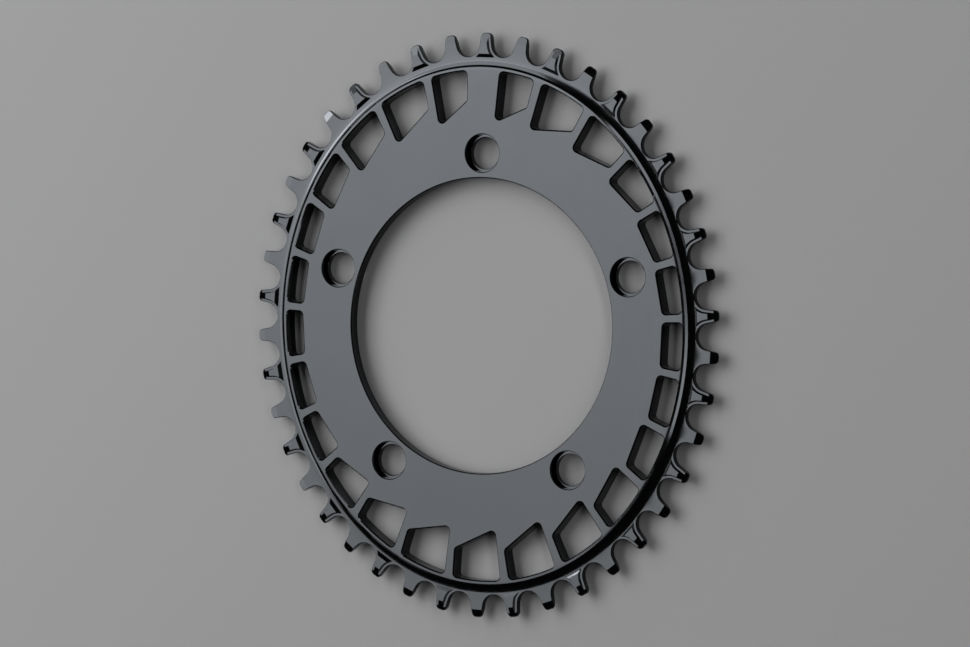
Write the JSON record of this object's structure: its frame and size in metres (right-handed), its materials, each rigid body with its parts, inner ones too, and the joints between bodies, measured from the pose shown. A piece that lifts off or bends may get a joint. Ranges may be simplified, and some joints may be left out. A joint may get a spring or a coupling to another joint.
{
  "type": "bicycle chainring",
  "caption": "Oval one-piece narrow-wide bicycle chainring with bevelled teeth, slanted windows, a round bore and counterbored spider bolt holes.",
  "frame": {"origin": "on the ring's axis, on the plane of the spider seats at the back of the web, at the bolt circle's centre", "axes": "+Z along the ring's axis towards the front (outer) face with the counterbores; +Y towards the first bolt hole; the oval's long axis leans 4.1 degrees anticlockwise from +Y"},
  "size_m": [0.1662, 0.1866, 0.0055],
  "materials": {
    "anodised_black": "black anodised, fine satin machined faces with brighter bevels"
  },
  "bodies": {
    "root": {"chainring": "anodised_black"}
  },
  "joints": []
}
